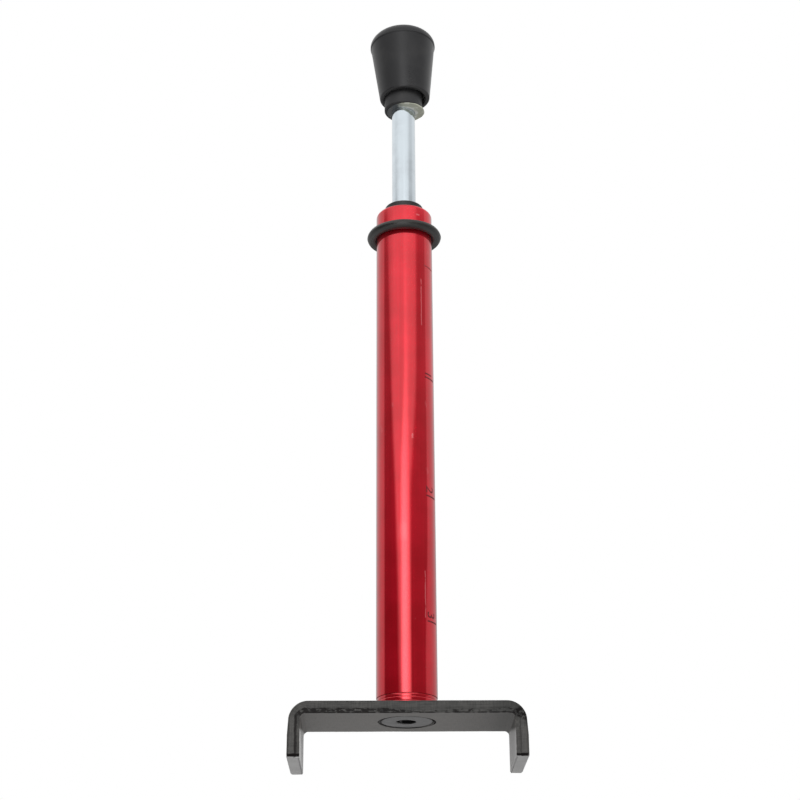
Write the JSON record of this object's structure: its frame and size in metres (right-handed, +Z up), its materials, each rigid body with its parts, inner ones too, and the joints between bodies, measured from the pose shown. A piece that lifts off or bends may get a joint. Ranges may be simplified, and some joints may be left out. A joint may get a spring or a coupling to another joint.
{
  "type": "belt tension gauge",
  "caption": "Push-type belt tension gauge: sprung plunger with a rubber knob in a tube with a scale and a sliding ring, on a U-shaped cradle that sits over the belt.",
  "frame": {"origin": "on the barrel's axis, level with the tips of the cradle's legs, on which the gauge stands", "axes": "+Z up the barrel towards the knob, X across the cradle from leg to leg, Y along the belt; the pictured side is -Y"},
  "size_m": [0.0532, 0.02, 0.1959],
  "materials": {
    "blackened_steel": "black oxide on sheared steel bar, satin, slightly worn",
    "blackened_screw": "black oxide, satin",
    "red_anodised": "red anodised, glossy, drawn along the tube",
    "bright_plated": "bright plated, polished",
    "spring_steel": "drawn wire, oiled",
    "zinc_plated": "zinc plated",
    "turned_brass": "turned",
    "black_plastic": "hard black plastic, satin",
    "knob_rubber": "moulded rubber, satin",
    "ring_rubber": "nitrile rubber, slightly shiny",
    "cured_adhesive": "clear yellowish cured adhesive"
  },
  "bodies": {
    "gauge_body": {"belt_cradle": "blackened_steel", "cradle_screw": "blackened_screw", "end_plug": "red_anodised", "barrel": "red_anodised", "guide_bush": "black_plastic", "preload_shim": "zinc_plated", "force_spring": "spring_steel"},
    "spring_end": {"thrust_washer": "zinc_plated"},
    "plunger": {"piston": "turned_brass", "lock_washer": "zinc_plated", "piston_screw": "zinc_plated", "return_bumper": "ring_rubber", "plunger_rod": "bright_plated", "knob_hub": "black_plastic", "glue_bead": "cured_adhesive", "knob_cap": "knob_rubber"},
    "marker": {"marker_ring": "ring_rubber"}
  },
  "joints": [
    {"name": "plunger_slide", "type": "slide", "parent": "gauge_body", "child": "spring_end", "axis": [0, 0, -1], "range_m": [0, 0.0279], "stiffness_N_per_m": 1400, "springref_m": -0.0043, "deforming": ["force_spring"]},
    {"name": "plunger_turn", "type": "hinge", "parent": "spring_end", "child": "plunger", "pos_m": [0, 0, 0.1217], "axis": [0, 0, 1], "continuous": true},
    {"name": "marker_slide", "type": "slide", "parent": "gauge_body", "child": "marker", "axis": [0, 0, 1], "range_m": [-0.1188, 0.004]}
  ]
}
